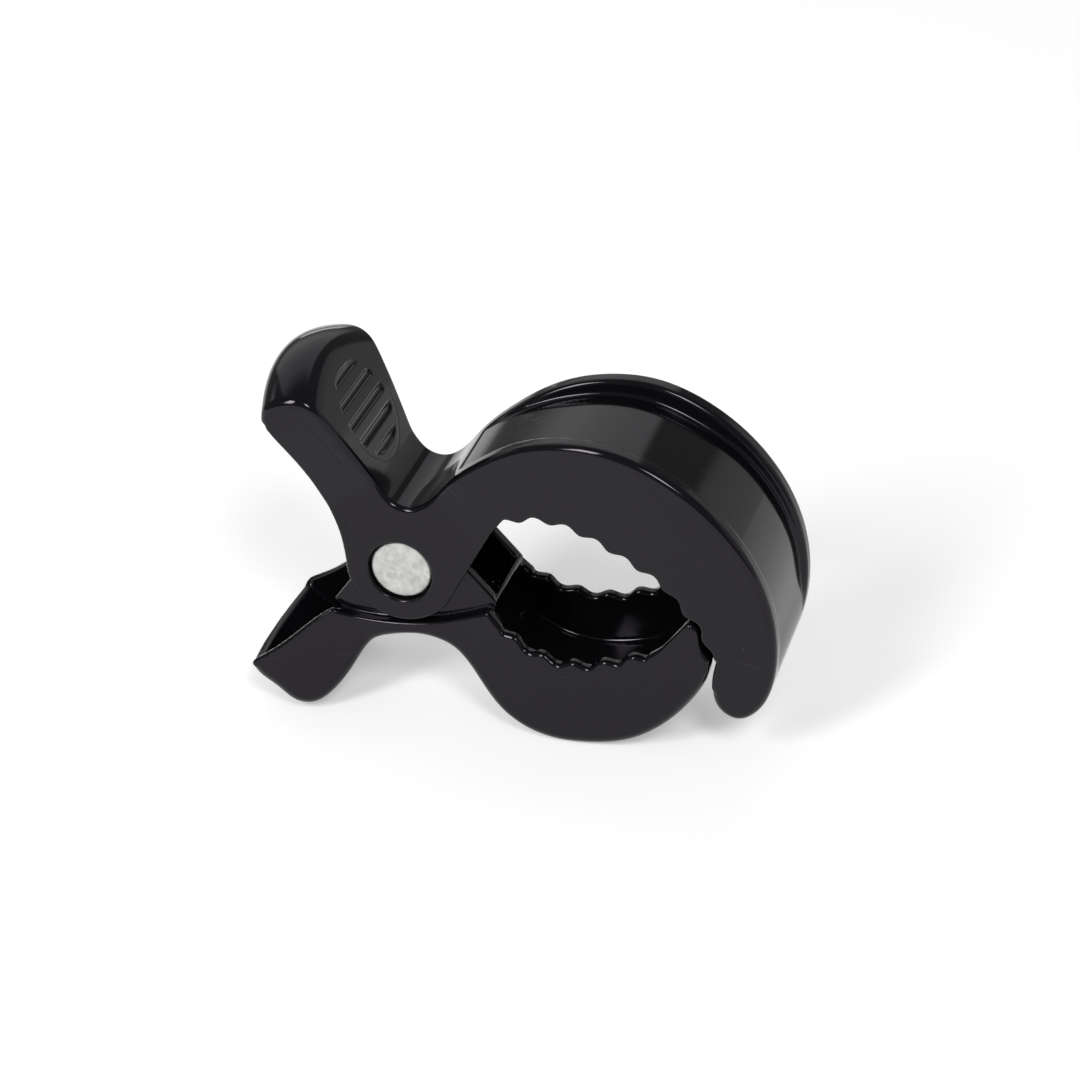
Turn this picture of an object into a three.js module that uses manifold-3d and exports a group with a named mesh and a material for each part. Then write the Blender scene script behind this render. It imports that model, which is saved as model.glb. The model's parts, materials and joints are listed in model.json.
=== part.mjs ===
// A sprung clip: two crossed levers of moulded plastic on a pivot pin, closed by a torsion spring.
// Millimetres. +X runs from the handles to the jaws, +Y along the pin, +Z up. The clip stands on the
// lower jaw's belly and the lower handle's end, and the origin is under the middle of its box.
import * as THREE from 'three';
import { mergeVertices } from 'three/addons/utils/BufferGeometryUtils.js';
import Module from 'manifold-3d';

const wasm = await Module();
wasm.setup();

// Driving dimensions
const NECK_WIDTH = 23.2;
const UPPER_JAW_WIDTH = 34.2;
const LOWER_JAW_WIDTH = 29.8;
const HANDLE_WIDTH = 33.8;
const GAP = 0.3;
const PIN_RADIUS = 6.3;
const PIN_RECESS = 0.9;
const PIN_HOLE_RADIUS = 6.77;
const BOSS_RADIUS = 11.4;
const EAR_BOSS_RADIUS = 9.5;
const NECK_CHEEK = 2.0;
const EAR_THICKNESS = 2.4;
const HANDLE_CHEEK = 2.4;
const JAW_CHEEK = 2.6;
const FLARE_START = 18;
const UPPER_FLARE_END = 66;
const LOWER_FLARE_END = 42;
const LOWER_FLARE_EASE = 0.86;
const LOWER_EASE_WIDTH = 0.96;
const UPPER_HANDLE_FLARE_START = 19;
const UPPER_HANDLE_FLARE_END = 40;
const HANDLE_END = 38;
const UPPER_BULGE = 4.8;
const LOWER_BULGE = 3.4;
const BULGE_START = 22;
const TOOTH_PITCH = 6.5;
const TOOTH_DEPTH = 1.2;
const UPPER_FIRST_GROOVE = 1.2;
const LOWER_FIRST_GROOVE = 0.6;
const BAND_RIM = 4.2;
const WIRE_RADIUS = 0.9;
const COIL_TURNS = 5;
const COIL_PITCH = 2.1;
const COIL_CLEARANCE = 0.75;
const LEG_LENGTH = 19.5;
const UPPER_LEG_HEADING = 96;
const LOWER_LEG_HEADING = 262;
const STAND_TILT = 5.5;
const FAR = 200;

// Derived dimensions
const EAR_OUTER = NECK_WIDTH / 2 - NECK_CHEEK - GAP;
const EAR_INNER = EAR_OUTER - EAR_THICKNESS;
const COIL_RADIUS = PIN_RADIUS + COIL_CLEARANCE + WIRE_RADIUS;

// How finely curves are cut into straight steps
const CURVE_STEP = 2.2;
const FINE_STEP = 1.2;
const TOOTH_STEP = TOOTH_PITCH / 6;
const ARC_STEP = 12;
const BULGE_STEPS = 8;
const ROUND_SIDES = 48;
const WIRE_STEP = 3;
const WIRE_SIDES = 4;

const radians = THREE.MathUtils.degToRad;
const heading = (degrees) => new THREE.Vector2(Math.cos(radians(degrees)), Math.sin(radians(degrees)));
const UPPER_HANDLE_WAY = heading(125.7);
const LOWER_HANDLE_WAY = heading(228.6);
const UPPER_JAW_WAY = heading(45);
const LOWER_JAW_WAY = heading(-32);

// ---- side outlines, as lists of Vector2 (x, z) round the pin's axis ----

const corners = (points) => points.map(([x, z]) => new THREE.Vector2(x, z));

// A smooth curve through a few points.
function curve(points, step = CURVE_STEP) {
  const path = new THREE.SplineCurve(corners(points));
  return path.getSpacedPoints(Math.max(2, Math.round(path.getLength() / step)));
}

// The same curve with a row of rounded grooves on one side, which fade in and out at its ends.
function toothed(points, firstGroove, side) {
  const path = new THREE.SplineCurve(corners(points));
  const length = path.getLength();
  const count = Math.round(length / TOOTH_STEP);
  const found = [];
  for (let i = 0; i <= count; i++) {
    const along = (i / count) * length;
    const tangent = path.getTangentAt(i / count);
    const fade = Math.min(1, along / TOOTH_STEP, (length - along) / TOOTH_STEP);
    const wave = Math.cos((2 * Math.PI * (along - firstGroove)) / TOOTH_PITCH);
    const lift = (side * fade * wave * TOOTH_DEPTH) / 2;
    const point = path.getPointAt(i / count);
    found.push(new THREE.Vector2(point.x - tangent.y * lift, point.y + tangent.x * lift));
  }
  return found;
}

function arc(radius, from, to) {
  const count = Math.round(Math.abs(to - from) / ARC_STEP);
  const found = [];
  for (let i = 0; i <= count; i++) {
    found.push(heading(from + ((to - from) * i) / count).multiplyScalar(radius));
  }
  return found;
}

const chain = (...pieces) => pieces.flat();

// Upper lever, clockwise from the handle's lower corner, over the top and back under the jaw.
const upperHandleTop = curve([
  [-27.3, 31.4], [-27.1, 33.6], [-25.6, 35.9], [-22.4, 37.5], [-19.2, 37.7], [-16.6, 36.6], [-13.8, 33.4],
  [-10.4, 28.2], [-6.8, 22.0], [-4.2, 18.0],
]);
const upperSaddle = curve([[-4.2, 18.0], [-1.6, 15.7], [1.6, 15.3], [5.0, 17.2], [9.3, 22.8]]);
const upperBand = curve([
  [9.3, 22.8], [15.5, 29.3], [24.6, 35.8], [34.6, 39.0], [44.0, 39.2], [54.2, 36.0], [64.0, 29.6],
  [72.0, 20.4], [76.9, 9.4], [78.3, -1.0],
]);
const hookEnd = curve([
  [78.3, -1.0], [77.6, -8.2], [75.2, -14.2], [71.2, -17.2], [67.4, -15.6], [65.8, -11.0],
], FINE_STEP);
const hookInside = curve([[65.8, -11.0], [65.8, -7.4], [66.3, -3.7]]);
const upperTeeth = toothed([
  [20.6, 16.6], [25.3, 18.8], [31.0, 19.8], [37.2, 19.0], [43.2, 16.9], [49.3, 14.2], [54.2, 11.4],
  [57.9, 7.6], [60.9, 4.5], [63.2, 1.7], [64.1, -1.2], [66.3, -3.7],
], UPPER_FIRST_GROOVE, 1).reverse();
const upperThroat = corners([[18.9, 13.6]]);
const upperBoss = arc(BOSS_RADIUS, -23, -178);
const upperHandleUnder = curve([
  [-11.4, -0.4], [-13.1, 7.0], [-15.8, 13.0], [-18.6, 18.8], [-22.2, 24.4], [-25.8, 29.3], [-27.3, 31.4],
]);
const upperOutline = chain(
  upperHandleTop, upperSaddle, upperBand, hookEnd, hookInside,
  upperTeeth, upperThroat, upperBoss, upperHandleUnder,
);

// The roof of the upper lever's hollow, 2.6 mm to 5 mm under its top, and open below.
const upperHollow = chain(
  curve([
    [-24.8, 32.0], [-23.4, 34.2], [-20.0, 35.0], [-15.9, 31.6], [-12.6, 26.6], [-9.2, 20.8], [-6.4, 16.4],
    [-3.2, 13.4], [1.4, 12.6], [6.2, 14.8], [11.8, 21.8], [18.4, 27.6], [26.8, 32.0], [35.6, 34.2],
    [43.6, 34.0], [52.0, 31.4], [60.4, 25.8], [67.2, 18.2], [71.6, 8.4], [73.2, -1.0], [72.6, -7.6],
    [70.6, -12.0],
  ]),
  corners([[60, -8], [30, 10], [0, -30], [-30, 20]]),
);

// The shallow channel round the outside of the upper jaw, between its two rims, which ends at the hook.
const upperChannel = chain(
  curve([
    [11.4, 25.4], [17.4, 28.8], [26.0, 33.2], [34.9, 35.8], [43.5, 35.8], [52.6, 32.9], [61.7, 27.3],
    [69.4, 19.0], [74.7, 8.8], [77.0, -0.5], [79.5, -8.0],
  ]),
  corners([[95, -8], [95, 45], [11.4, 45]]),
);

// Lower lever below its ledge, clockwise from the handle's upper corner.
const lowerOpening = curve([[-28.9, -25.0], [-22.4, -19.6], [-16.4, -13.8], [-14.4, -12.3]]);
const ledge = curve([[-14.4, -12.3], [-12.4, -12.8], [-8.4, -13.0], [0.9, -12.1], [9.0, -9.9], [18.6, -5.4]]);
const lowerTeeth = toothed([
  [21.4, -8.0], [25.8, -10.3], [31.0, -11.8], [36.0, -12.0], [41.0, -10.9], [46.0, -8.7], [51.0, -6.4],
  [52.8, -5.6],
], LOWER_FIRST_GROOVE, -1);
const lowerTip = curve([
  [52.8, -5.6], [54.8, -3.6], [56.9, -0.6], [58.8, 2.3], [60.3, 3.8], [61.7, 3.0], [62.5, 0.9], [63.1, -1.6],
  [65.1, -3.9],
], FINE_STEP);
const lowerTipBack = curve([[65.1, -3.9], [64.9, -7.4], [62.8, -13.2], [57.0, -21.7]]);
const belly = curve([
  [57.0, -21.7], [49.4, -27.7], [41.4, -30.3], [35.4, -31.0], [28.4, -30.0], [21.8, -26.4], [17.5, -21.8],
  [13.1, -17.2], [9.2, -15.1], [5.8, -14.6],
]);
const lowerHandleUnder = curve([
  [5.8, -14.6], [-1.1, -16.0], [-5.3, -18.1], [-9.3, -24.8], [-13.1, -31.0], [-16.6, -33.6], [-20.4, -33.7],
  [-24.5, -31.1], [-28.5, -28.0], [-29.3, -26.2], [-28.9, -25.0],
]);
const lowerOutline = chain(
  lowerOpening, ledge, lowerTeeth, lowerTip, lowerTipBack, belly, lowerHandleUnder,
);

// The ears that rise from the ledge and hold the pin, inside the upper lever's cheeks.
const earOutline = chain(
  corners([[-13.8, -12.2], [-8, -14], [8, -14], [22.0, -9.6], [22.6, -6.8], [14.2, 1.3]]),
  arc(EAR_BOSS_RADIUS, 44, 196),
);

// The floor of the lower lever's hollow, open above, in two rooms with the cross wall between them.
const springRoom = chain(
  corners([[-40, -30]]),
  curve([
    [-26.6, -25.6], [-22.4, -28.6], [-17.8, -30.6], [-14.6, -28.6], [-10.4, -21.6], [-6.4, -15.2],
    [-2.0, -12.6], [4.0, -11.4],
  ]),
  corners([[15.0, -10.6], [17.6, -6.4], [30, 20], [-40, 20]]),
);
const jawRoom = chain(
  curve([
    [16.4, -11.6], [22.6, -18.4], [28.6, -22.0], [35.0, -23.2], [41.4, -22.4], [48.0, -20.0], [54.6, -14.4],
    [58.4, -8.2], [59.8, -2.0],
  ]),
  corners([[59.8, 30], [28, 30], [19.3, -6.8]]),
);

// The channel under the lower jaw, between its two rims.
const lowerChannel = chain(
  curve([
    [10.0, -17.2], [15.6, -16.8], [20.4, -21.2], [25.0, -24.6], [30.0, -26.8], [35.4, -27.7], [41.0, -27.0],
    [48.0, -24.4], [54.6, -19.4], [59.4, -12.2], [61.4, -6.8], [68, -4],
  ]),
  corners([[68, -40], [10, -40]]),
);

// ---- solids ----

function solid(geometry) {
  geometry.deleteAttribute('normal');
  geometry.deleteAttribute('uv');
  const merged = mergeVertices(geometry);
  const mesh = new wasm.Mesh({
    numProp: 3,
    vertProperties: new Float32Array(merged.attributes.position.array),
    triVerts: new Uint32Array(merged.index.array),
  });
  return new wasm.Manifold(mesh);
}

// A side outline made into a slab that is halfWidth thick on each side of the middle plane.
function slab(outline, halfWidth, steps = 1) {
  const open = outline.filter((point, i) => point.distanceTo(outline[(i + 1) % outline.length]) > 1e-3);
  const options = { depth: 2 * halfWidth, steps, bevelEnabled: false };
  const geometry = new THREE.ExtrudeGeometry(new THREE.Shape(open), options);
  geometry.rotateX(Math.PI / 2);
  geometry.translate(0, halfWidth, 0);
  return geometry;
}

const plate = (outline, halfWidth) => solid(slab(outline, halfWidth));

// A slab whose handle end bulges along way in the middle of its width and not at its cheeks.
function bulged(outline, way, most) {
  const geometry = slab(outline, HANDLE_WIDTH / 2, BULGE_STEPS);
  const places = geometry.attributes.position;
  for (let i = 0; i < places.count; i++) {
    const x = places.getX(i);
    const z = places.getZ(i);
    const reach = (x * way.x + z * way.y - BULGE_START) / (HANDLE_END - BULGE_START);
    const across = (2 * places.getY(i)) / HANDLE_WIDTH;
    const bulge = most * (1 - across * across) * THREE.MathUtils.smoothstep(reach, 0, 1);
    places.setXYZ(i, x + way.x * bulge, places.getY(i), z + way.y * bulge);
  }
  return solid(geometry);
}

// A prism seen from above: half widths at distances from the pin along way, endless across it.
function flare(way, halfWidths, less) {
  const side = halfWidths.map(([along, half]) => new THREE.Vector2(along, half - less));
  const mirror = side.map((point) => new THREE.Vector2(point.x, -point.y)).reverse();
  const options = { depth: FAR, steps: 1, bevelEnabled: false };
  const geometry = new THREE.ExtrudeGeometry(new THREE.Shape(chain(side, mirror)), options);
  geometry.translate(0, 0, -FAR / 2);
  geometry.rotateY(-way.angle());
  return solid(geometry);
}

// Half widths at distances from the pin, from the neck's to the full width of a handle or jaw.
function widths(start, end, width, ...between) {
  return [[start, NECK_WIDTH / 2], ...between, [end, width / 2], [FAR / 2, width / 2]];
}

// The lower jaw's flare eases off before its end.
const ease = [LOWER_FLARE_EASE * LOWER_FLARE_END, (LOWER_EASE_WIDTH * LOWER_JAW_WIDTH) / 2];
const upper = {
  jawWay: UPPER_JAW_WAY,
  jawWidths: widths(FLARE_START, UPPER_FLARE_END, UPPER_JAW_WIDTH),
  handleWay: UPPER_HANDLE_WAY,
  handleWidths: widths(UPPER_HANDLE_FLARE_START, UPPER_HANDLE_FLARE_END, HANDLE_WIDTH),
};
const lower = {
  jawWay: LOWER_JAW_WAY,
  jawWidths: widths(FLARE_START, LOWER_FLARE_END, LOWER_JAW_WIDTH, ease),
  handleWay: LOWER_HANDLE_WAY,
  handleWidths: widths(FLARE_START, HANDLE_END, HANDLE_WIDTH),
};

// A lever's plan: the neck, and the flares to the jaw and to the handle, each less a wall.
function plan(lever, neckHalf, jawWall, handleWall) {
  return solid(new THREE.BoxGeometry(FAR, 2 * neckHalf, FAR))
    .add(flare(lever.jawWay, lever.jawWidths, jawWall))
    .add(flare(lever.handleWay, lever.handleWidths, handleWall));
}

// A channel along the outside of a jaw, which leaves a rim on each side.
function channel(outline, lever) {
  return plate(outline, HANDLE_WIDTH / 2).intersect(flare(lever.jawWay, lever.jawWidths, BAND_RIM));
}

function pinHole(radius) {
  return solid(new THREE.CylinderGeometry(radius, radius, FAR, ROUND_SIDES));
}

function upperLever() {
  const outer = bulged(upperOutline, UPPER_HANDLE_WAY, UPPER_BULGE)
    .intersect(plan(upper, NECK_WIDTH / 2, 0, 0));
  const hollow = bulged(upperHollow, UPPER_HANDLE_WAY, UPPER_BULGE)
    .intersect(plan(upper, EAR_OUTER + GAP, JAW_CHEEK, HANDLE_CHEEK));
  return outer.subtract(hollow).subtract(channel(upperChannel, upper)).subtract(pinHole(PIN_HOLE_RADIUS));
}

function lowerLever() {
  const outer = bulged(lowerOutline, LOWER_HANDLE_WAY, LOWER_BULGE)
    .intersect(plan(lower, NECK_WIDTH / 2, 0, 0))
    .add(plate(earOutline, EAR_OUTER));
  const rooms = bulged(springRoom, LOWER_HANDLE_WAY, LOWER_BULGE)
    .add(plate(jawRoom, HANDLE_WIDTH / 2))
    .intersect(plan(lower, EAR_INNER, JAW_CHEEK, HANDLE_CHEEK));
  return outer.subtract(rooms).subtract(channel(lowerChannel, lower)).subtract(pinHole(PIN_RADIUS + GAP));
}

// The spring's wire: a leg in each handle and the turns between them, round the pin.
class SpringWire extends THREE.Curve {
  constructor() {
    super();
    this.start = radians(UPPER_LEG_HEADING + 90);
    this.sweep = 2 * Math.PI * COIL_TURNS + radians(LOWER_LEG_HEADING - UPPER_LEG_HEADING - 180);
    this.coil = this.sweep * COIL_RADIUS;
    this.total = this.coil + 2 * LEG_LENGTH;
  }

  turn(angle) {
    const y = (angle / this.sweep - 0.5) * COIL_PITCH * COIL_TURNS;
    const way = this.start + angle;
    return new THREE.Vector3(Math.cos(way) * COIL_RADIUS, y, Math.sin(way) * COIL_RADIUS);
  }

  getPoint(t) {
    const along = t * this.total - LEG_LENGTH;
    const angle = THREE.MathUtils.clamp(along / COIL_RADIUS, 0, this.sweep);
    const point = this.turn(angle);
    const beyond = along - angle * COIL_RADIUS;
    const way = this.start + angle + Math.PI / 2;
    return point.add(new THREE.Vector3(Math.cos(way) * beyond, 0, Math.sin(way) * beyond));
  }
}

function springGeometry() {
  const wire = new SpringWire();
  const section = new THREE.Shape().absarc(0, 0, WIRE_RADIUS, 0, 2 * Math.PI);
  const steps = Math.round(wire.total / WIRE_STEP);
  const options = { extrudePath: wire, steps, curveSegments: WIRE_SIDES, bevelEnabled: false };
  return new THREE.ExtrudeGeometry(section, options);
}

function pinGeometry() {
  return new THREE.CylinderGeometry(PIN_RADIUS, PIN_RADIUS, NECK_WIDTH - 2 * PIN_RECESS, ROUND_SIDES);
}

// ---- scene graph ----

function geometryOf(manifold) {
  const { vertProperties, triVerts } = manifold.getMesh();
  const geometry = new THREE.BufferGeometry();
  geometry.setAttribute('position', new THREE.BufferAttribute(new Float32Array(vertProperties), 3));
  geometry.setIndex(new THREE.BufferAttribute(new Uint32Array(triVerts), 1));
  geometry.computeVertexNormals();
  return geometry;
}

const blackPlastic = new THREE.MeshStandardMaterial({ color: 0x17161a, roughness: 0.12, metalness: 0 });
const paleMetal = new THREE.MeshStandardMaterial({ color: 0xc8c8c6, roughness: 0.45, metalness: 1 });
const springSteel = new THREE.MeshStandardMaterial({ color: 0x9a9a9e, roughness: 0.3, metalness: 1 });

function part(name, geometry, material) {
  const mesh = new THREE.Mesh(geometry, material);
  mesh.name = name;
  return mesh;
}

const clip = new THREE.Group();
clip.add(part('upper_lever', geometryOf(upperLever()), blackPlastic));
clip.add(part('lower_lever', geometryOf(lowerLever()), blackPlastic));
clip.add(part('pivot_pin', pinGeometry(), paleMetal));
clip.add(part('torsion_spring', springGeometry(), springSteel));

// Turned until the belly and the handle's end are level, then moved to stand on the origin's plane.
clip.rotation.y = radians(STAND_TILT);
clip.updateMatrixWorld(true);
const box = new THREE.Box3().setFromObject(clip, true);
clip.position.set(-(box.min.x + box.max.x) / 2, 0, -box.min.z);

export default clip;
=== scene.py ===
import math

import bpy
import numpy as np
from mathutils import Matrix, Vector
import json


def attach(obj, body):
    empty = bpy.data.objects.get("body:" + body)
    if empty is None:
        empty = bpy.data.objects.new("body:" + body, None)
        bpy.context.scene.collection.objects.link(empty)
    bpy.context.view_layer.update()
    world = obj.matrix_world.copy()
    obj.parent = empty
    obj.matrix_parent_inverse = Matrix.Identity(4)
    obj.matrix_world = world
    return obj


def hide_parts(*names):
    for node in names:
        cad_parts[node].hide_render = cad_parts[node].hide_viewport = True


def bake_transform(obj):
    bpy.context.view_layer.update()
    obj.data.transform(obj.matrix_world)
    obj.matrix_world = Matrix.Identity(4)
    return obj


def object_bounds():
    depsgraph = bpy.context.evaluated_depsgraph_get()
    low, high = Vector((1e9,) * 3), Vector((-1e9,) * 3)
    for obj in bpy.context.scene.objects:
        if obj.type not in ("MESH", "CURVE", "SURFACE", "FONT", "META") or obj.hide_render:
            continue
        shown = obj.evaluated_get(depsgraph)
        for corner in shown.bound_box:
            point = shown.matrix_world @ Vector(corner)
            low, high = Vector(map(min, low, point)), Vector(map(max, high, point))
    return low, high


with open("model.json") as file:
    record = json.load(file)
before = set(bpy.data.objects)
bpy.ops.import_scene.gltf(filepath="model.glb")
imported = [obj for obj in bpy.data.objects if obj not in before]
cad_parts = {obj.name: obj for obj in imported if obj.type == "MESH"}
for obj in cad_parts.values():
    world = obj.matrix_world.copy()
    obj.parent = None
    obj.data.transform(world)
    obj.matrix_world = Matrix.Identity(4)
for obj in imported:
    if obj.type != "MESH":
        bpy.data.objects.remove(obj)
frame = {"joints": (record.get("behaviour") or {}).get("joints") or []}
cad_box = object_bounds()

# A sprung clip of glossy black plastic. Each lever is the zero surface of a distance field, built
# in millimetres round the pin's axis: x runs towards the jaws, y along the pin and z up, before the
# clip is tilted to stand on its belly and its lower handle. The scene itself is in metres.

MM = 0.001
CELL = 0.42
PIVOT = Vector(frame["joints"][0]["pos_m"])
STAND_TILT = math.radians(5.5)

# Driving dimensions
NECK_HALF = 11.6
EAR_OUTER = 9.3
EAR_INNER = 6.9
EAR_GAP = 0.3
UPPER_JAW_HALF = 17.3
LOWER_JAW_HALF = 14.9
HANDLE_HALF = 16.9
JAW_WALL = 2.6
HANDLE_WALL = 2.4
LOWER_HANDLE_WALL = 1.4
BAND_RIM = 4.2
FLARE_START = 18.0
UPPER_HANDLE_FLARE_START = 19.0
UPPER_HANDLE_FLARE_END = 40.0
UPPER_FLARE_END = 66.0
LOWER_FLARE_END = 42.0
HANDLE_END = 38.0
BULGE_START = 22.0
UPPER_BULGE = 4.9
LOWER_BULGE = 3.4
PIN_RADIUS = 6.3
PIN_HALF = 10.7
UPPER_HOLE = 6.77
LOWER_HOLE = 6.6
TOOTH_PITCH = 6.5
TOOTH_DEPTH = 1.2
UPPER_FIRST_GROOVE = 1.2
LOWER_FIRST_GROOVE = 0.6
WIRE_RADIUS = 0.9
COIL_RADIUS = 7.95
COIL_TURNS = 5
COIL_PITCH = 2.1
LEG_LENGTH = 19.5
UPPER_LEG_HEADING = 96
LOWER_LEG_HEADING = 262


def heading(degrees):
    """The unit (x, z) vector at that angle above +X."""
    return np.array([math.cos(math.radians(degrees)), math.sin(math.radians(degrees))])


UPPER_HANDLE_WAY = heading(125.7)
LOWER_HANDLE_WAY = heading(228.6)
UPPER_JAW_WAY = heading(45)
LOWER_JAW_WAY = heading(-32)


# ---- side outlines, as rows of (x, z) round the pin's axis ----

def curve(points, step=0.35):
    """A natural cubic spline through the points, sampled about every step millimetres."""
    p = np.array(points, float)
    chord = np.hypot(*np.diff(p, axis=0).T)
    knots = np.concatenate([[0], np.cumsum(chord)])
    n = len(p)
    system = np.eye(n)
    right = np.zeros((n, 2))
    for i in range(1, n - 1):
        before, after = chord[i - 1], chord[i]
        system[i, i - 1 : i + 2] = before, 2 * (before + after), after
        right[i] = 6 * ((p[i + 1] - p[i]) / after - (p[i] - p[i - 1]) / before)
    bend = np.linalg.solve(system, right)
    t = np.linspace(0, knots[-1], max(3, int(knots[-1] / step)))
    i = np.clip(np.searchsorted(knots, t, side="right") - 1, 0, n - 2)
    h = chord[i][:, None]
    a = (knots[i + 1] - t)[:, None]
    b = (t - knots[i])[:, None]
    cubic = (bend[i] * a**3 + bend[i + 1] * b**3) / (6 * h)
    return cubic + (p[i] / h - bend[i] * h / 6) * a + (p[i + 1] / h - bend[i + 1] * h / 6) * b


def toothed(points, first_groove, side):
    """The same curve with a row of rounded grooves on one side, fading in and out at its ends."""
    path = curve(points, 0.25)
    along = np.concatenate([[0], np.cumsum(np.hypot(*np.diff(path, axis=0).T))])
    tangent = np.gradient(path, axis=0)
    tangent /= np.hypot(*tangent.T)[:, None]
    fade = np.clip(np.minimum(along, along[-1] - along) / (TOOTH_PITCH / 6), 0, 1)
    wave = np.cos(2 * math.pi * (along - first_groove) / TOOTH_PITCH)
    lift = side * fade * wave * TOOTH_DEPTH / 2
    return path + np.stack([-tangent[:, 1] * lift, tangent[:, 0] * lift], axis=1)


def arc(radius, start, end):
    """Points on a circle round the pin's axis, from one heading to another, in degrees."""
    turn = np.linspace(math.radians(start), math.radians(end), 2 + int(abs(end - start) / 2))
    return radius * np.stack([np.cos(turn), np.sin(turn)], axis=1)


def chain(*pieces):
    """One closed outline from curves and corner points, in order."""
    return np.concatenate([np.array(piece, float).reshape(-1, 2) for piece in pieces])


UPPER_OUTLINE = chain(
    curve([
        (-27.3, 31.4), (-27.1, 33.6), (-25.6, 35.9), (-22.4, 37.5), (-19.2, 37.7), (-16.6, 36.6), (-13.8, 33.4),
        (-10.4, 28.2), (-6.8, 22.0), (-4.2, 18.0), (-1.6, 15.7), (1.6, 15.3), (5.0, 17.2), (9.3, 22.8),
        (15.5, 29.3), (24.6, 35.8), (34.6, 39.0), (44.0, 39.2), (54.2, 36.0), (64.0, 29.6), (72.0, 20.4),
        (76.9, 9.4), (78.3, -1.0), (77.6, -8.2), (75.2, -14.2), (71.2, -17.2), (67.4, -15.6), (65.8, -11.0),
        (65.8, -7.4), (66.3, -3.7),
    ]),
    toothed([
        (20.6, 16.6), (25.3, 18.8), (31.0, 19.8), (37.2, 19.0), (43.2, 16.9), (49.3, 14.2), (54.2, 11.4),
        (57.9, 7.6), (60.9, 4.5), (63.2, 1.7), (64.1, -1.2), (66.3, -3.7),
    ], UPPER_FIRST_GROOVE, 1)[::-1],
    (18.9, 13.6),
    arc(11.4, -23, -178),
    curve([
        (-11.4, -0.4), (-13.1, 7.0), (-15.8, 13.0), (-18.6, 18.8), (-22.2, 24.4), (-25.8, 29.3), (-27.3, 31.4),
    ]),
)

UPPER_HOLLOW = chain(
    curve([
        (-24.8, 32.0), (-23.4, 34.2), (-20.0, 35.0), (-15.9, 31.6), (-12.6, 26.6), (-9.2, 20.8), (-6.4, 16.4),
        (-3.2, 13.4), (1.4, 12.6), (6.2, 14.8), (11.8, 21.8), (18.4, 27.6), (26.8, 32.0), (35.6, 34.2),
        (43.6, 34.0), (52.0, 31.4), (60.4, 25.8), (67.2, 18.2), (71.6, 8.4), (73.2, -1.0), (72.6, -7.6),
        (70.6, -12.0),
    ]),
    (60, -8), (30, 10), (0, -30), (-30, 20),
)

UPPER_CHANNEL = chain(
    curve([
        (10.8, 24.8), (17.0, 29.2), (25.9, 33.7), (34.9, 36.0), (43.5, 35.9), (52.6, 33.0), (62.0, 27.7),
        (70.0, 19.3), (75.3, 8.9), (77.5, -0.7), (79.6, -8.0),
    ]),
    (95, -8), (95, 45), (11.4, 45),
)

LOWER_OUTLINE = chain(
    curve([(-28.9, -25.0), (-22.4, -19.6), (-16.4, -13.8), (-14.4, -12.3)]),
    curve([(-14.4, -12.3), (-12.4, -12.8), (-8.4, -13.0), (0.9, -12.1), (9.0, -9.9), (18.6, -5.4)]),
    toothed([
        (21.4, -8.0), (25.8, -10.3), (31.0, -11.8), (36.0, -12.0), (41.0, -10.9), (46.0, -8.7), (51.0, -6.4),
        (52.8, -5.6),
    ], LOWER_FIRST_GROOVE, -1),
    curve([
        (52.8, -5.6), (54.8, -3.6), (56.9, -0.6), (58.8, 2.3), (60.3, 3.8), (61.7, 3.0), (62.5, 0.9),
        (63.1, -1.6), (65.1, -3.9),
    ]),
    curve([
        (65.1, -3.9), (64.9, -7.4), (62.8, -13.2), (57.0, -21.7), (49.4, -27.7), (41.4, -30.3), (35.4, -31.0),
        (28.4, -30.0), (21.8, -26.4), (17.5, -21.8), (13.1, -17.2), (9.2, -15.1), (5.8, -14.6), (-1.1, -16.0),
        (-5.3, -18.1), (-9.3, -24.8), (-13.1, -31.0), (-16.6, -33.6), (-20.4, -33.7), (-24.5, -31.1),
        (-28.9, -28.1), (-29.7, -26.3), (-28.9, -25.0),
    ]),
)

EAR_OUTLINE = chain(
    (-15.4, -12.6), (-8, -15), (8, -14), (22.0, -9.6), (22.6, -6.8), (14.2, 1.3),
    arc(9.5, 44, 196),
)

SPRING_ROOM = chain(
    (-40, -30),
    curve([
        (-28.2, -26.0), (-24.2, -28.8), (-18.6, -31.0), (-14.6, -28.6), (-10.4, -21.6), (-6.4, -15.2),
        (-2.0, -12.6), (4.0, -11.4),
    ]),
    (15.0, -10.6), (17.6, -6.4), (30, 20), (-40, 20),
)

JAW_ROOM = chain(
    curve([
        (16.4, -11.6), (22.6, -18.4), (28.6, -22.0), (35.0, -23.2), (41.4, -22.4), (48.0, -20.0), (54.6, -14.4),
        (58.4, -8.2), (59.8, -2.0),
    ]),
    (59.8, 30), (28, 30), (19.3, -6.8),
)

LOWER_CHANNEL = chain(
    curve([
        (10.0, -17.2), (15.6, -16.8), (20.4, -21.2), (25.0, -24.6), (30.0, -26.8), (35.4, -27.7), (41.0, -27.0),
        (48.0, -24.4), (54.6, -19.4), (59.4, -12.2), (61.4, -6.8), (68, -4),
    ]),
    (68, -40), (10, -40),
)


# ---- distance fields ----

MAP_LOW = np.array([-40.0, -44.0])
MAP_HIGH = np.array([86.0, 50.0])
MAP_STEP = 0.5


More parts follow.
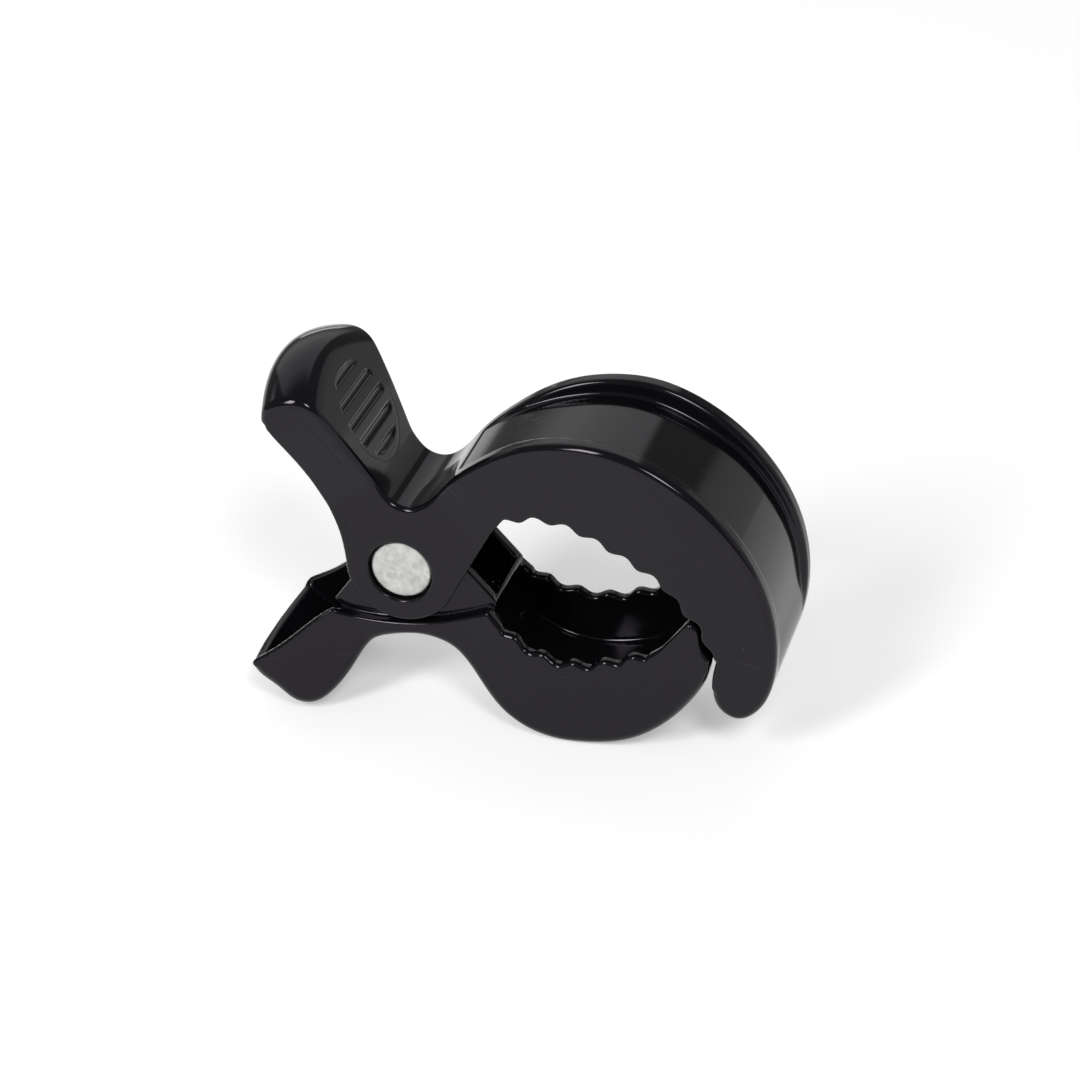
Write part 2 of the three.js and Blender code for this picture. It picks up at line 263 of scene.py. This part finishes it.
def distance_map(outline):
    """Signed distance to a closed outline over a square grid of points, negative inside it."""
    counts = np.ceil((MAP_HIGH - MAP_LOW) / MAP_STEP).astype(int) + 1
    x, z = np.meshgrid(*(low + MAP_STEP * np.arange(n) for low, n in zip(MAP_LOW, counts)), indexing="ij")
    points = np.stack([x.ravel(), z.ravel()], axis=1)
    start = outline[np.hypot(*(np.roll(outline, -1, axis=0) - outline).T) > 1e-6]
    edge = np.roll(start, -1, axis=0) - start
    length = (edge**2).sum(axis=1)
    rise = np.where(edge[:, 1] == 0, 1e-12, edge[:, 1])
    found = np.empty(len(points))
    for part in np.array_split(np.arange(len(points)), len(points) // 1500 + 1):
        dx = points[part, 0][:, None] - start[:, 0]
        dz = points[part, 1][:, None] - start[:, 1]
        share = np.clip((dx * edge[:, 0] + dz * edge[:, 1]) / length, 0, 1)
        near = np.sqrt(((dx - share * edge[:, 0]) ** 2 + (dz - share * edge[:, 1]) ** 2).min(axis=1))
        passes = (dz < 0) != (dz < edge[:, 1])
        crossed = passes & (dx < dz / rise * edge[:, 0])
        inside = crossed.sum(axis=1) % 2 == 1
        found[part] = np.where(inside, -near, near)
    return found.reshape(x.shape)


def cubic_weights(f):
    """Catmull-Rom weights of the four samples round a point a share f past the second."""
    return (
        ((-f + 2) * f - 1) * f / 2,
        ((3 * f - 5) * f * f + 2) / 2,
        ((-3 * f + 4) * f + 1) * f / 2,
        (f - 1) * f * f / 2,
    )


def sample(grid, x, z):
    """A distance map's value at any points, smooth across its cells."""
    u = (x - MAP_LOW[0]) / MAP_STEP
    v = (z - MAP_LOW[1]) / MAP_STEP
    i = np.clip(np.floor(u).astype(int), 1, grid.shape[0] - 3)
    j = np.clip(np.floor(v).astype(int), 1, grid.shape[1] - 3)
    flat = grid.ravel()
    base = (i - 1) * grid.shape[1] + (j - 1)
    across = cubic_weights(v - j)
    total = 0
    for a, weight in enumerate(cubic_weights(u - i)):
        row = base + a * grid.shape[1]
        total = total + weight * sum(across[b] * flat[row + b] for b in range(4))
    return total


def both(a, b, radius):
    """What is in a and in b, with the edge between them rounded to that radius."""
    outside = np.hypot(np.maximum(a + radius, 0), np.maximum(b + radius, 0))
    return np.minimum(np.maximum(a, b), -radius) + outside


def either(a, b, radius):
    """What is in a or in b, with a fillet of that radius between them."""
    return -both(-a, -b, radius)


def without(a, b, radius):
    """What is in a and not in b, with the edge between them rounded to that radius."""
    return both(a, -b, radius)


def soft_max(a, b, width):
    """The larger of two values, eased over that width."""
    share = np.clip(0.5 + 0.5 * (a - b) / width, 0, 1)
    return b + (a - b) * share + width * share * (1 - share)


def ramp(value, start, end):
    """0 before start, 1 after end, and smooth between them."""
    t = np.clip((value - start) / (end - start), 0, 1)
    return t * t * (3 - 2 * t)


def flare(along, start, end, half):
    """Half width at a distance from the pin: the neck's to start, then straight out to half at end."""
    slope = (half - NECK_HALF) / (end - start)
    widening = NECK_HALF + slope * (along - start)
    return -soft_max(-widening, -half, 1.2)


def unbulged(x, z, y, way, most):
    """Where a point was before the handle's end was pushed out along way in the middle."""
    across = np.clip(1 - (y / HANDLE_HALF) ** 2, 0, 1)
    reach = x * way[0] + z * way[1]
    bulge = 0
    for _ in range(4):
        bulge = most * across * ramp(reach - bulge, BULGE_START, HANDLE_END)
    return x - way[0] * bulge, z - way[1] * bulge


def pin_hole(x, z, radius):
    return np.hypot(x, z) - radius


UPPER_MAPS = {
    "outline": distance_map(UPPER_OUTLINE),
    "hollow": distance_map(UPPER_HOLLOW),
    "channel": distance_map(UPPER_CHANNEL),
}
LOWER_MAPS = {
    "outline": distance_map(LOWER_OUTLINE),
    "ears": distance_map(EAR_OUTLINE),
    "spring_room": distance_map(SPRING_ROOM),
    "jaw_room": distance_map(JAW_ROOM),
    "channel": distance_map(LOWER_CHANNEL),
}

GRIP_MIDDLE = 30.7
GRIP_PITCH = 4.2
GRIP_OVAL = (11.4, 10.4)
GRIP_DEPTH = 0.5
GRIP_HALF_WIDTH = 1.0


def grip_grooves(along, y, top):
    """Depth of the thumb pad's five grooves and of the thin oval line round them, where top is 1."""
    u = along - GRIP_MIDDLE
    past_oval = (np.hypot(u / GRIP_OVAL[0], y / GRIP_OVAL[1]) - 1) * GRIP_OVAL[1]
    nearest = np.clip(np.round(u / GRIP_PITCH), -2, 2) * GRIP_PITCH
    past_groove = both(np.abs(u - nearest) - GRIP_HALF_WIDTH, past_oval + 1.2, 0.7)
    inside = np.clip(-past_groove / GRIP_HALF_WIDTH, 0, 1)
    depth = GRIP_DEPTH * inside * (2 - inside)
    line = 0.04 * np.exp(-((past_oval / 0.22) ** 2)) * ramp(-u, 0, 5)
    return (depth + line) * top


def upper_field(x, y, z):
    """The upper lever: the hooked jaw, the cheeks round the pin and the thumb handle."""
    wide = np.abs(y)
    to_jaw = x * UPPER_JAW_WAY[0] + z * UPPER_JAW_WAY[1]
    to_handle = x * UPPER_HANDLE_WAY[0] + z * UPPER_HANDLE_WAY[1]
    jaw_half = flare(to_jaw, FLARE_START, UPPER_FLARE_END, UPPER_JAW_HALF)
    handle_half = flare(to_handle, UPPER_HANDLE_FLARE_START, UPPER_HANDLE_FLARE_END, HANDLE_HALF)
    flared = np.maximum(jaw_half, handle_half)
    outer_half = soft_max(flared, NECK_HALF, 0.25)
    hx, hz = unbulged(x, z, y, UPPER_HANDLE_WAY, UPPER_BULGE)
    outline = sample(UPPER_MAPS["outline"], hx, hz)
    skin = sample(UPPER_MAPS["hollow"], hx, hz)
    top = ramp(skin, 0.5, 1.0)
    from_middle = np.hypot(x - 42.3, z - 4.6)
    on_band = ramp(from_middle, 22, 30) * ramp(x, 4, 10)
    rounding = 0.6 + top * (0.6 + 0.35 * on_band)
    body = both(outline, wide - outer_half, rounding)
    shell_line = 0.045 * np.exp(-(((outline + 3.2) / 0.25) ** 2))
    body = body + shell_line * ramp(skin, -3, -1) * ramp(wide - outer_half, -1, -0.5)

    inner_half = soft_max(np.maximum(jaw_half - JAW_WALL, handle_half - HANDLE_WALL), EAR_OUTER + EAR_GAP, 0.4)
    body = without(body, both(skin, wide - inner_half, 1.2), 0.6)

    channel = both(sample(UPPER_MAPS["channel"], x, z), wide - (jaw_half - BAND_RIM), 0.8)
    body = without(body, channel, 1.0)
    body = without(body, pin_hole(x, z, UPPER_HOLE), 0.3)
    return body + grip_grooves(to_handle, y, top)


# The height of the lower lever's upper edge along x, over its handle and its ledge.
LOWER_TOP_EDGE = ((-29.0, -14.4, -8.4, 0.9, 9.0, 18.6), (-25.0, -12.3, -13.0, -12.1, -9.9, -5.4))


def lower_field(x, y, z):
    """The lower lever: the round-bellied jaw, the ears that hold the pin and the thumb handle."""
    wide = np.abs(y)
    to_jaw = x * LOWER_JAW_WAY[0] + z * LOWER_JAW_WAY[1]
    to_handle = x * LOWER_HANDLE_WAY[0] + z * LOWER_HANDLE_WAY[1]
    jaw_half = flare(to_jaw, FLARE_START, LOWER_FLARE_END - 1.5, LOWER_JAW_HALF)
    handle_half = flare(to_handle, FLARE_START, HANDLE_END, HANDLE_HALF)
    outer_half = soft_max(np.maximum(jaw_half, handle_half), NECK_HALF, 0.25)
    hx, hz = unbulged(x, z, y, LOWER_HANDLE_WAY, LOWER_BULGE)
    outline = sample(LOWER_MAPS["outline"], hx, hz)
    from_teeth = np.hypot(x - 38, z - 14)
    on_teeth = ramp(to_jaw, 14, 20)
    under = ramp(np.interp(x, *LOWER_TOP_EDGE) - z, 1.0, 3.0)
    rounding = 0.5 + 0.4 * on_teeth + under * (1.2 * ramp(from_teeth, 30, 38) + 0.4 * ramp(to_handle, 20, 30))
    body = both(outline, wide - outer_half, rounding)
    ears = both(sample(LOWER_MAPS["ears"], x, z), wide - EAR_OUTER, 0.4)
    body = either(body, ears, 0.4)

    inner_half = soft_max(np.maximum(jaw_half - JAW_WALL, handle_half - LOWER_HANDLE_WALL), EAR_INNER, 0.4)
    flared = ramp(np.maximum(to_jaw, to_handle), FLARE_START - 0.4, FLARE_START + 0.4)
    inner_half = EAR_INNER + (inner_half - EAR_INNER) * flared
    floor = np.minimum(sample(LOWER_MAPS["spring_room"], hx, hz), sample(LOWER_MAPS["jaw_room"], x, z))
    rooms = both(floor, wide - inner_half, 1.0)
    body = without(body, rooms, 0.5 + 0.5 * on_teeth)

    channel = both(sample(LOWER_MAPS["channel"], x, z), wide - (jaw_half - BAND_RIM), 1.0)
    body = without(body, channel, 1.0)
    return without(body, pin_hole(x, z, LOWER_HOLE), 0.3)


# ---- meshes ----

CORNERS = np.array([(a, b, c) for a in (0, 1) for b in (0, 1) for c in (0, 1)])
CELL_EDGES = [
    (a, b)
    for a in range(8)
    for b in range(a + 1, 8)
    if np.abs(CORNERS[a] - CORNERS[b]).sum() == 1
]


def field_grid(field, low, high):
    """The field's values over a grid, found on one side of the middle plane and mirrored."""
    half = int(math.ceil(high[1] / CELL)) + 1
    nx, nz = (int(math.ceil((high[a] - low[a]) / CELL)) + 3 for a in (0, 2))
    xs = low[0] - CELL + CELL * np.arange(nx)
    zs = low[2] - CELL + CELL * np.arange(nz)
    x, z = np.meshgrid(xs, zs, indexing="ij")
    values = np.empty((nx, 2 * half + 1, nz), np.float32)
    for k in range(half + 1):
        values[:, half + k] = values[:, half - k] = field(x, np.full_like(x, k * CELL), z)
    return values, np.array([xs[0], -half * CELL, zs[0]])


def cell_points(values, start, active):
    """One point in each cell that the surface crosses: the middle of its crossings of the edges."""
    place = np.argwhere(active)
    corner = [values[tuple((place + offset).T)] for offset in CORNERS]
    total = np.zeros((len(place), 3))
    count = np.zeros(len(place))
    for a, b in CELL_EDGES:
        crossed = (corner[a] < 0) != (corner[b] < 0)
        share = corner[a][crossed] / (corner[a][crossed] - corner[b][crossed])
        total[crossed] += CORNERS[a] + share[:, None] * (CORNERS[b] - CORNERS[a])
        count[crossed] += 1
    return start + CELL * (place + total / count[:, None])


def cell_quads(values, active):
    """A face across each grid edge that the surface crosses, through its four cells' points."""
    index = np.full(active.shape, -1)
    index[active] = np.arange(active.sum())
    inside = values < 0
    faces = []
    for axis in range(3):
        b, c = (axis + 1) % 3, (axis + 2) % 3
        one = [slice(1, -1)] * 3
        two = [slice(1, -1)] * 3
        one[axis] = slice(0, -1)
        two[axis] = slice(1, None)
        here = inside[tuple(one)]
        crossed = here != inside[tuple(two)]
        place = np.argwhere(crossed) + np.array([0 if a == axis else 1 for a in range(3)])
        ring = []
        for back_b, back_c in ((0, 0), (1, 0), (1, 1), (0, 1)):
            cell = place.copy()
            cell[:, b] -= back_b
            cell[:, c] -= back_c
            ring.append(index[tuple(cell.T)])
        quad = np.stack(ring, axis=1)
        outward = here[crossed]
        faces.append(np.where(outward[:, None], quad, quad[:, ::-1]))
    return np.concatenate(faces)


def gradient(field, points, step=0.15):
    """The field's slope at each point."""
    slopes = []
    for axis in range(3):
        offset = np.zeros(3)
        offset[axis] = step
        ahead = field(*(points + offset).T)
        behind = field(*(points - offset).T)
        slopes.append((ahead - behind) / (2 * step))
    return np.stack(slopes, axis=1)


def settle(field, points):
    """Moves the points onto the surface, and gives them with the surface's outward directions."""
    for _ in range(2):
        slope = gradient(field, points)
        steep = np.maximum((slope**2).sum(axis=1), 0.2)
        move = np.clip(field(*points.T) / steep, -CELL, CELL)
        points = points - move[:, None] * slope
    slope = gradient(field, points)
    return points, slope / np.maximum(np.linalg.norm(slope, axis=1), 1e-6)[:, None]


def to_row(points):
    """From millimetres round the pin, untilted, to metres in the row's frame."""
    turned = np.array([
        [math.cos(STAND_TILT), 0, math.sin(STAND_TILT)],
        [0, 1, 0],
        [-math.sin(STAND_TILT), 0, math.cos(STAND_TILT)],
    ])
    return points @ turned.T * MM + np.array(PIVOT)


def mesh_object(name, points, faces, normals=None):
    """A smooth-shaded object from points in the clip's own millimetres."""
    mesh = bpy.data.meshes.new(name)
    mesh.from_pydata(to_row(points).tolist(), [], [list(face) for face in faces])
    mesh.shade_smooth()
    if normals is not None:
        turned = (to_row(normals) - np.array(PIVOT)) / MM
        mesh.normals_split_custom_set_from_vertices(turned.tolist())
    made = bpy.data.objects.new(name, mesh)
    bpy.context.scene.collection.objects.link(made)
    return made


def lever(name, field, low, high, body, node):
    values, start = field_grid(field, low, high)
    signs = sum(
        (values[a : values.shape[0] - 1 + a, b : values.shape[1] - 1 + b, c : values.shape[2] - 1 + c] < 0).astype(int)
        for a, b, c in CORNERS
    )
    active = (signs > 0) & (signs < 8)
    points, normals = settle(field, cell_points(values, start, active))
    made = mesh_object(name, points, cell_quads(values, active).tolist(), normals)
    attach(made, body)
    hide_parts(node)
    return made


def turned_mesh(name, profile, sides, body):
    """A solid of revolution about the pin's axis, from (radius, y) pairs that start and end on it."""
    turn = 2 * math.pi * np.arange(sides) / sides
    points = [(0, profile[0][1], 0)]
    for radius, y in profile[1:-1]:
        points += [(radius * math.cos(a), y, radius * math.sin(a)) for a in turn]
    points.append((0, profile[-1][1], 0))
    faces = []
    rings = len(profile) - 2
    for k in range(sides):
        after = (k + 1) % sides
        faces.append((0, 1 + after, 1 + k))
        for ring in range(rings - 1):
            a = 1 + ring * sides
            faces.append((a + k, a + after, a + sides + after, a + sides + k))
        last = 1 + (rings - 1) * sides
        faces.append((len(points) - 1, last + k, last + after))
    made = mesh_object(name, np.array(points, float), faces)
    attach(made, body)
    return made


def pivot_pin():
    """A dowel with a small chamfer and faint turning rings on its flat ends."""
    end = []
    for radius in np.arange(0.5, PIN_RADIUS - 0.55, 0.3):
        ripple = 0.012 * math.cos(2 * math.pi * radius / 1.2)
        end.append((radius, PIN_HALF - 0.02 + ripple))
    edge = [(PIN_RADIUS - 0.45, PIN_HALF - 0.02), (PIN_RADIUS - 0.15, PIN_HALF - 0.12), (PIN_RADIUS, PIN_HALF - 0.45)]
    side = end + edge
    back = [(radius, -y) for radius, y in side]
    profile = [(0, -PIN_HALF)] + back + side[::-1] + [(0, PIN_HALF)]
    made = turned_mesh("pivot_pin_turned", profile, 96, "lower")
    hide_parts("pivot_pin")
    return made


def spring_path():
    """Points along the spring's wire: a leg, the turns round the pin, and the other leg."""
    start = math.radians(UPPER_LEG_HEADING + 90)
    sweep = 2 * math.pi * COIL_TURNS + math.radians(LOWER_LEG_HEADING - UPPER_LEG_HEADING - 180)
    along = np.arange(-LEG_LENGTH, sweep * COIL_RADIUS + LEG_LENGTH, 0.6)
    angle = np.clip(along / COIL_RADIUS, 0, sweep)
    beyond = along - angle * COIL_RADIUS
    way = start + angle
    x = np.cos(way) * COIL_RADIUS - np.sin(way) * beyond
    z = np.sin(way) * COIL_RADIUS + np.cos(way) * beyond
    y = (angle / sweep - 0.5) * COIL_PITCH * COIL_TURNS
    return np.stack([x, y, z], axis=1)


def torsion_spring():
    """Round wire swept along the spring's path, with domed ends."""
    path = spring_path()
    tangent = np.gradient(path, axis=0)
    tangent /= np.linalg.norm(tangent, axis=1)[:, None]
    side = np.cross(tangent, (0, 1, 0))
    side /= np.linalg.norm(side, axis=1)[:, None]
    over = np.cross(side, tangent)
    sides = 14
    turn = 2 * math.pi * np.arange(sides) / sides
    radius = np.full(len(path), WIRE_RADIUS)
    radius[[0, -1]] = 0.75 * WIRE_RADIUS
    ring = np.cos(turn)[:, None, None] * side + np.sin(turn)[:, None, None] * over
    points = (path + radius[:, None] * ring).transpose(1, 0, 2).reshape(-1, 3)
    faces = []
    for i in range(len(path) - 1):
        for k in range(sides):
            after = (k + 1) % sides
            faces.append((i * sides + k, i * sides + after, (i + 1) * sides + after, (i + 1) * sides + k))
    faces.append(tuple(range(sides))[::-1])
    faces.append(tuple(range((len(path) - 1) * sides, len(path) * sides)))
    made = mesh_object("torsion_spring_wire", points, faces)
    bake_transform(made)
    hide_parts("torsion_spring")
    return made


# ---- materials ----

def new_material(name):
    """A node material and its shader: (material, nodes, links, Principled BSDF)."""
    material = bpy.data.materials.new(name)
    material.use_nodes = True
    nodes = material.node_tree.nodes
    return material, nodes, material.node_tree.links, nodes["Principled BSDF"]


def noise(nodes, links, coordinates, scale, detail=2.0):
    made = nodes.new("ShaderNodeTexNoise")
    made.inputs["Scale"].default_value = scale
    made.inputs["Detail"].default_value = detail
    links.new(coordinates, made.inputs["Vector"])
    return made.outputs["Fac"]


def mapped(nodes, links, value, low, high, to_low, to_high):
    """A value taken from one range to another and held there."""
    made = nodes.new("ShaderNodeMapRange")
    for name, number in zip(("From Min", "From Max", "To Min", "To Max"), (low, high, to_low, to_high)):
        made.inputs[name].default_value = number
    links.new(value, made.inputs["Value"])
    return made.outputs["Result"]


def between(nodes, links, share, low, high):
    """A mix of two colours by a share from 0 to 1."""
    made = nodes.new("ShaderNodeMix")
    made.data_type = "RGBA"
    made.inputs["A"].default_value = (*low, 1)
    made.inputs["B"].default_value = (*high, 1)
    links.new(share, made.inputs["Factor"])
    return made.outputs["Result"]


def combined(nodes, links, operation, a, b):
    made = nodes.new("ShaderNodeMath")
    made.operation = operation
    for value, socket in zip((a, b), made.inputs):
        if isinstance(value, (int, float)):
            socket.default_value = value
        else:
            links.new(value, socket)
    return made.outputs[0]


def dust(nodes, links, place):
    """1 on a few specks about a tenth of a millimetre across, some millimetres apart."""
    cells = nodes.new("ShaderNodeTexVoronoi")
    cells.inputs["Scale"].default_value = 260
    links.new(place, cells.inputs["Vector"])
    chosen = nodes.new("ShaderNodeSeparateColor")
    links.new(cells.outputs["Color"], chosen.inputs["Color"])
    size = mapped(nodes, links, chosen.outputs["Red"], 0.55, 1, 0, 0.05)
    return combined(nodes, links, "LESS_THAN", cells.outputs["Distance"], size)


def scratches(nodes, links, place):
    """1 on thin wandering lines, in patches, and 0 elsewhere."""
    wander = noise(nodes, links, place, 45, 1.0)
    off_line = combined(nodes, links, "ABSOLUTE", combined(nodes, links, "SUBTRACT", wander, 0.5), 0)
    line = mapped(nodes, links, off_line, 0.0003, 0.0012, 1, 0)
    patch = mapped(nodes, links, noise(nodes, links, place, 130), 0.58, 0.66, 0, 0.6)
    return combined(nodes, links, "MULTIPLY", line, patch)


def black_plastic():
    """Polished black moulding plastic: faint flow in its gloss, hairline scratches and dust."""
    material, nodes, links, shader = new_material("black_plastic")
    place = nodes.new("ShaderNodeTexCoord").outputs["Object"]
    shader.inputs["IOR"].default_value = 1.34
    shader.inputs["Specular Tint"].default_value = (1.0, 0.92, 1.02, 1)
    marks = combined(nodes, links, "MAXIMUM", dust(nodes, links, place), scratches(nodes, links, place))
    colour = between(nodes, links, marks, (0.0035, 0.0032, 0.0042), (0.045, 0.045, 0.045))
    links.new(colour, shader.inputs["Base Color"])
    cloudy = mapped(nodes, links, noise(nodes, links, place, 60), 0.3, 0.7, 0.07, 0.12)
    links.new(combined(nodes, links, "MAXIMUM", cloudy, marks), shader.inputs["Roughness"])
    bump = nodes.new("ShaderNodeBump")
    bump.inputs["Strength"].default_value = 0.04
    bump.inputs["Distance"].default_value = 0.0002
    links.new(noise(nodes, links, place, 220), bump.inputs["Height"])
    links.new(bump.outputs["Normal"], shader.inputs["Normal"])
    return material


def pale_metal():
    """Turned light metal, slightly mottled."""
    material, nodes, links, shader = new_material("pale_metal")
    place = nodes.new("ShaderNodeTexCoord").outputs["Object"]
    shader.inputs["Metallic"].default_value = 0.6
    mottled = noise(nodes, links, place, 700, 6.0)
    colour = between(nodes, links, mapped(nodes, links, mottled, 0.35, 0.65, 0, 1), (0.43, 0.43, 0.42), (0.62, 0.62, 0.6))
    links.new(colour, shader.inputs["Base Color"])
    links.new(mapped(nodes, links, mottled, 0.3, 0.7, 0.4, 0.6), shader.inputs["Roughness"])
    return material


def spring_steel():
    material, nodes, links, shader = new_material("spring_steel")
    place = nodes.new("ShaderNodeTexCoord").outputs["Object"]
    shader.inputs["Metallic"].default_value = 1.0
    shader.inputs["Base Color"].default_value = (0.42, 0.42, 0.44, 1)
    drawn = noise(nodes, links, place, 900)
    links.new(mapped(nodes, links, drawn, 0.3, 0.7, 0.22, 0.4), shader.inputs["Roughness"])
    return material


def paint(made, material):
    made.data.materials.append(material)


# ---- the room ----

def floor():
    half = 3.0
    mesh = bpy.data.meshes.new("floor")
    mesh.from_pydata([(-half, -half, 0), (half, -half, 0), (half, half, 0), (-half, half, 0)], [], [(0, 1, 2, 3)])
    made = bpy.data.objects.new("floor", mesh)
    bpy.context.scene.collection.objects.link(made)
    material, _, _, shader = new_material("floor_paint")
    shader.inputs["Base Color"].default_value = (0.8, 0.8, 0.8, 1)
    shader.inputs["Roughness"].default_value = 0.9
    shader.inputs["Emission Color"].default_value = (1, 1, 1, 1)
    shader.inputs["Emission Strength"].default_value = 0.36
    mesh.materials.append(material)


def fade(light, shares):
    """Dims a panel towards its edges over those shares of its width and height."""
    light.use_nodes = True
    nodes = light.node_tree.nodes
    links = light.node_tree.links
    place = nodes.new("ShaderNodeSeparateXYZ")
    links.new(nodes.new("ShaderNodeNewGeometry").outputs["Parametric"], place.inputs[0])
    product = nodes.new("ShaderNodeMath")
    product.operation = "MULTIPLY"
    for k, (axis, share) in enumerate(zip("XY", shares)):
        off = nodes.new("ShaderNodeMapRange")
        off.interpolation_type = "SMOOTHSTEP"
        distance = nodes.new("ShaderNodeMath")
        distance.operation = "PINGPONG"
        distance.inputs[1].default_value = 0.5
        links.new(place.outputs[axis], distance.inputs[0])
        off.inputs["From Max"].default_value = share
        links.new(distance.outputs[0], off.inputs["Value"])
        links.new(off.outputs["Result"], product.inputs[k])
    links.new(product.outputs[0], nodes["Emission"].inputs["Strength"])


def panel(name, azimuth, elevation, distance, size, brightness, soft):
    """A soft panel light that faces the object. Azimuth 0 is behind it and 90 to its right."""
    light = bpy.data.lights.new(name, "AREA")
    light.shape = "RECTANGLE"
    light.size, light.size_y = size
    light.energy = brightness * math.pi * size[0] * size[1]
    fade(light, soft)
    made = bpy.data.objects.new(name, light)
    a, e = math.radians(azimuth), math.radians(elevation)
    way = Vector((math.sin(a) * math.cos(e), math.cos(a) * math.cos(e), math.sin(e)))
    middle = (cad_box[0] + cad_box[1]) / 2
    made.location = middle + distance * way
    made.rotation_euler = (-way).to_track_quat("-Z", "Y").to_euler()
    bpy.context.scene.collection.objects.link(made)


def room_light(strength):
    """An even dim light from all round, shown without any film-like toning."""
    bpy.context.scene.view_settings.view_transform = "Standard"
    world = bpy.data.worlds.new("room")
    world.use_nodes = True
    shade = world.node_tree.nodes["Background"]
    shade.inputs["Color"].default_value = (1, 1, 1, 1)
    shade.inputs["Strength"].default_value = strength
    bpy.context.scene.world = world


def camera(place, azimuth, elevation, roll, lens):
    """Azimuth 0 looks along +Y, elevation is above the horizon and roll turns the view clockwise."""
    made = bpy.data.objects.new("camera", bpy.data.cameras.new("camera"))
    made.data.lens = lens
    made.data.sensor_width = 36
    made.location = place
    a, e = math.radians(azimuth), math.radians(elevation)
    forward = Vector((-math.sin(a) * math.cos(e), math.cos(a) * math.cos(e), -math.sin(e)))
    upright = forward.to_track_quat("-Z", "Y").to_matrix()
    made.rotation_euler = (upright @ Matrix.Rotation(math.radians(roll), 3, "Z")).to_euler()
    bpy.context.scene.collection.objects.link(made)
    bpy.context.scene.camera = made


camera((0.1635, -0.4769, 0.3444), 18.47, 31.32, -3.24, 98.06)
floor()
room_light(0.2)
panel("front_left", -153, 36, 1.6, (0.38, 0.85), 18, (0.12, 0.12))
panel("front_right", 146, 45, 1.6, (0.38, 0.5), 20, (0.12, 0.12))
panel("left", -80, 28, 1.2, (0.7, 0.35), 0.9, (0.45, 0.45))
panel("back", -25, 41, 1.2, (1.55, 1.5), 0.78, (0.07, 0.3))
panel("back_low", -22, 6, 1.3, (0.5, 0.14), 2.0, (0.1, 0.1))
panel("right", 70, 13, 1.2, (2.1, 0.8), 0.42, (0.04, 0.12))

plastic = black_plastic()
upper = lever(
    "upper_lever_moulding", upper_field, (-32, 0, -20), (80, 19, 45), "upper", "upper_lever",
)
lower = lever(
    "lower_lever_moulding", lower_field, (-34, 0, -38), (68, 19, 13), "lower", "lower_lever",
)
paint(upper, plastic)
paint(lower, plastic)
paint(pivot_pin(), pale_metal())
paint(torsion_spring(), spring_steel())
